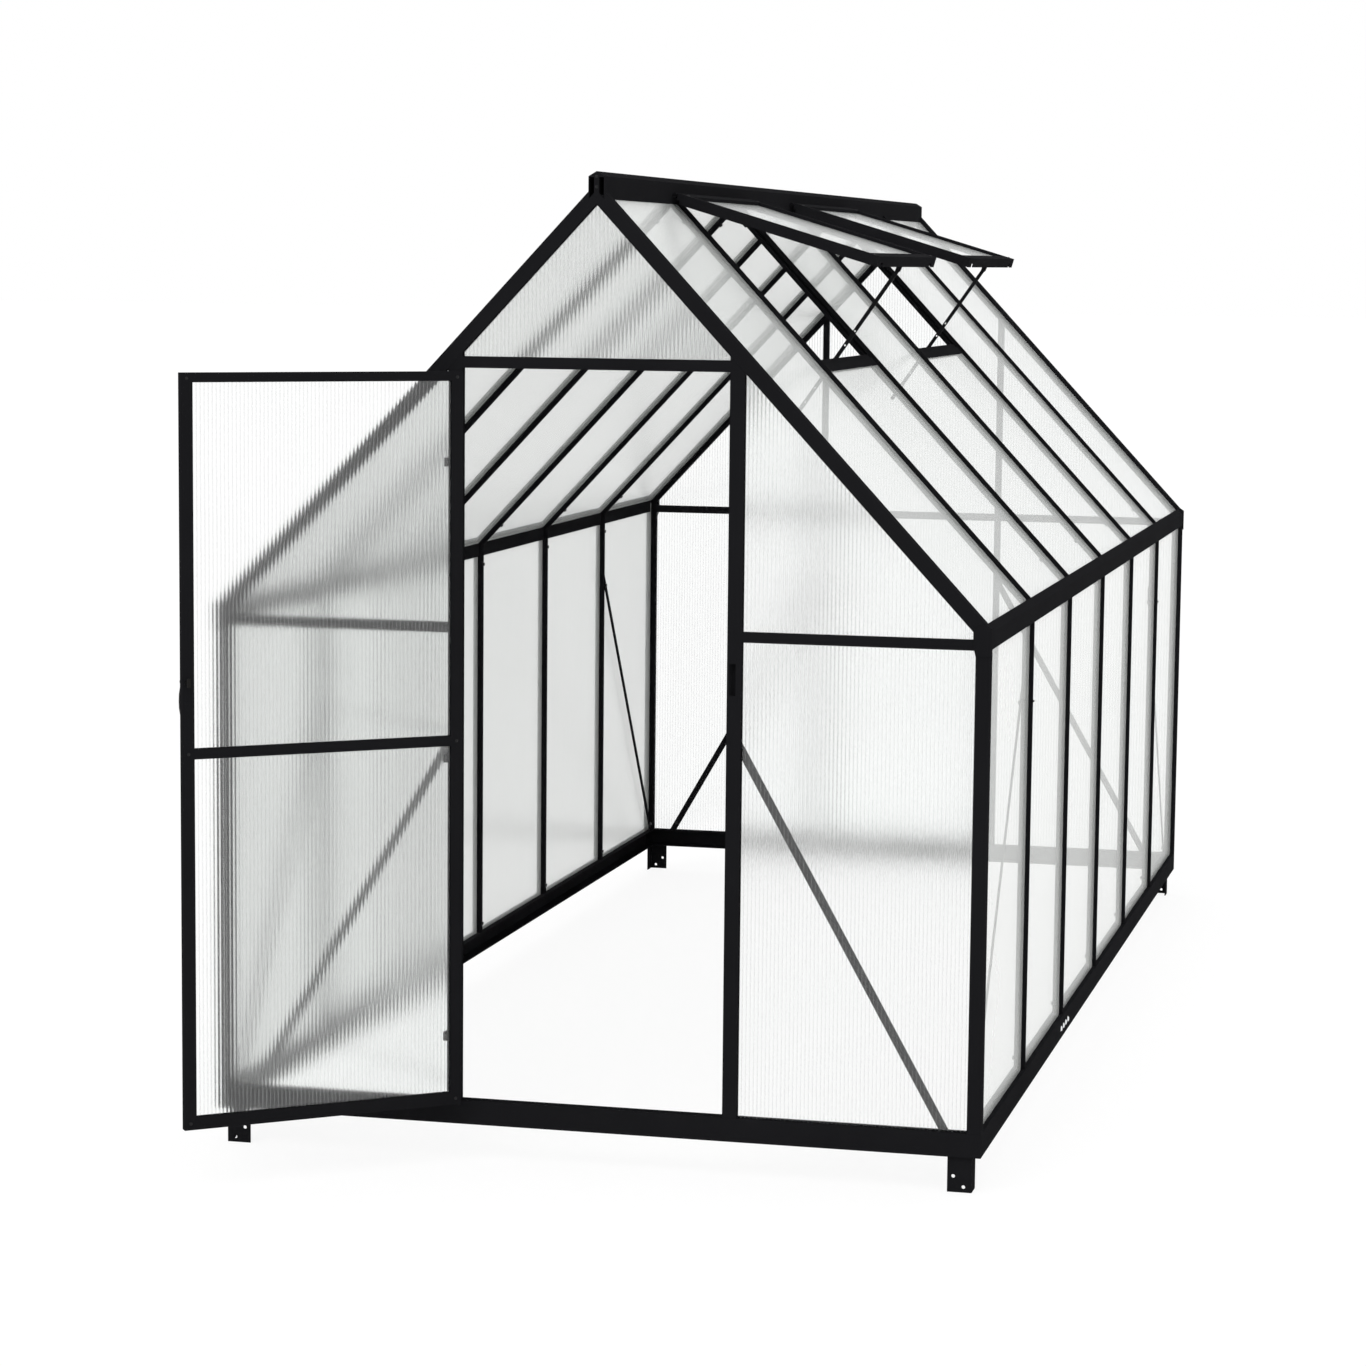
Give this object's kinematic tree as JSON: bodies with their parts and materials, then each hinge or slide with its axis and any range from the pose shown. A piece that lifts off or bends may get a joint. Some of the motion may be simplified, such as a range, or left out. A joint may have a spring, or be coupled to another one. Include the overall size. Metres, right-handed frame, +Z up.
{
  "type": "greenhouse",
  "caption": "Walk-in greenhouse with a pitched roof: black glazing-bar frame, translucent twin-wall panels, a hinged door with a lever handle, and roof vents on stays.",
  "frame": {"origin": "middle of the door threshold, on the underside of the front base rail and on the line of the first wall panels' end", "axes": "+Z up, +Y along the house from the door end to the back end, +X toward the roof slope that has the vents"},
  "size_m": [1.884, 4.7283, 2.353],
  "materials": {
    "frame_black": "matte black powder coat",
    "stay_metal": "matte black powder coat",
    "handle": "moulded black, fine texture",
    "glazing": "translucent twin-wall sheet with fine flutes"
  },
  "bodies": {
    "frame": {"back_end_frame": "frame_black", "back_mullions": "frame_black", "back_panel_left_lower": "glazing", "back_panel_left_upper": "glazing", "back_panel_mid_lower": "glazing", "back_panel_mid_upper": "glazing", "back_panel_right_lower": "glazing", "back_panel_right_upper": "glazing", "base_frame": "frame_black", "bay_frame_1": "frame_black", "bay_frame_2": "frame_black", "bay_frame_3": "frame_black", "bay_frame_4": "frame_black", "bay_frame_5": "frame_black", "door_surround": "frame_black", "eave_beam_left": "frame_black", "eave_beam_right": "frame_black", "front_end_frame": "frame_black", "front_panel_gable": "glazing", "front_panel_left_lower": "glazing", "front_panel_left_upper": "glazing", "front_panel_right_lower": "glazing", "front_panel_right_upper": "glazing", "ridge_beam": "frame_black", "roof_panel_left_1": "glazing", "roof_panel_left_2": "glazing", "roof_panel_left_3": "glazing", "roof_panel_left_4": "glazing", "roof_panel_left_5": "glazing", "roof_panel_left_6": "glazing", "roof_panel_right_1": "glazing", "roof_panel_right_2": "glazing", "roof_panel_right_3": "glazing", "roof_panel_right_4": "glazing", "roof_panel_right_5": "glazing", "roof_panel_right_6": "glazing", "vent_sill_front": "frame_black", "vent_sill_rear": "frame_black", "wall_panel_left_1": "glazing", "wall_panel_left_2": "glazing", "wall_panel_left_3": "glazing", "wall_panel_left_4": "glazing", "wall_panel_left_5": "glazing", "wall_panel_left_6": "glazing", "wall_panel_right_1": "glazing", "wall_panel_right_2": "glazing", "wall_panel_right_3": "glazing", "wall_panel_right_4": "glazing", "wall_panel_right_5": "glazing", "wall_panel_right_6": "glazing"},
    "door": {"door_frame": "frame_black", "door_panel_lower": "glazing", "door_panel_upper": "glazing"},
    "door_handle": {"door_handle": "handle"},
    "vent_front": {"vent_sash_front": "frame_black", "vent_panel_front": "glazing"},
    "vent_rear": {"vent_sash_rear": "frame_black", "vent_panel_rear": "glazing"},
    "stay_front": {"vent_stay_front": "stay_metal"},
    "stay_rear": {"vent_stay_rear": "stay_metal"}
  },
  "joints": [
    {"name": "door_hinge", "type": "hinge", "parent": "frame", "child": "door", "pos_m": [-0.33, -0.052, 0.9], "axis": [0, 0, -1], "range_deg": [-140.6, 34.4]},
    {"name": "handle_turn", "type": "hinge", "parent": "door", "child": "door_handle", "pos_m": [-0.84387, -0.4741, 1.1], "axis": [0.6347, -0.7727, 0], "range_deg": [0, 90]},
    {"name": "vent_front_hinge", "type": "hinge", "parent": "frame", "child": "vent_front", "pos_m": [0.0255, 1.05, 2.225], "axis": [0, -1, 0], "range_deg": [-30.5, 0]},
    {"name": "stay_front_turn", "type": "hinge", "parent": "vent_front", "child": "stay_front", "pos_m": [0.51617, 1.05, 2.0471], "axis": [0, -1, 0], "range_deg": [0, 18.4]},
    {"name": "vent_rear_hinge", "type": "hinge", "parent": "frame", "child": "vent_rear", "pos_m": [0.0255, 2.45, 2.225], "axis": [0, -1, 0], "range_deg": [-30.5, 0]},
    {"name": "stay_rear_turn", "type": "hinge", "parent": "vent_rear", "child": "stay_rear", "pos_m": [0.51617, 2.45, 2.0471], "axis": [0, -1, 0], "range_deg": [0, 18.4]}
  ],
  "couplings": [
    {"joint": "stay_front_turn", "follows": "vent_front_hinge", "ratio": -0.6},
    {"joint": "stay_rear_turn", "follows": "vent_rear_hinge", "ratio": -0.6}
  ]
}
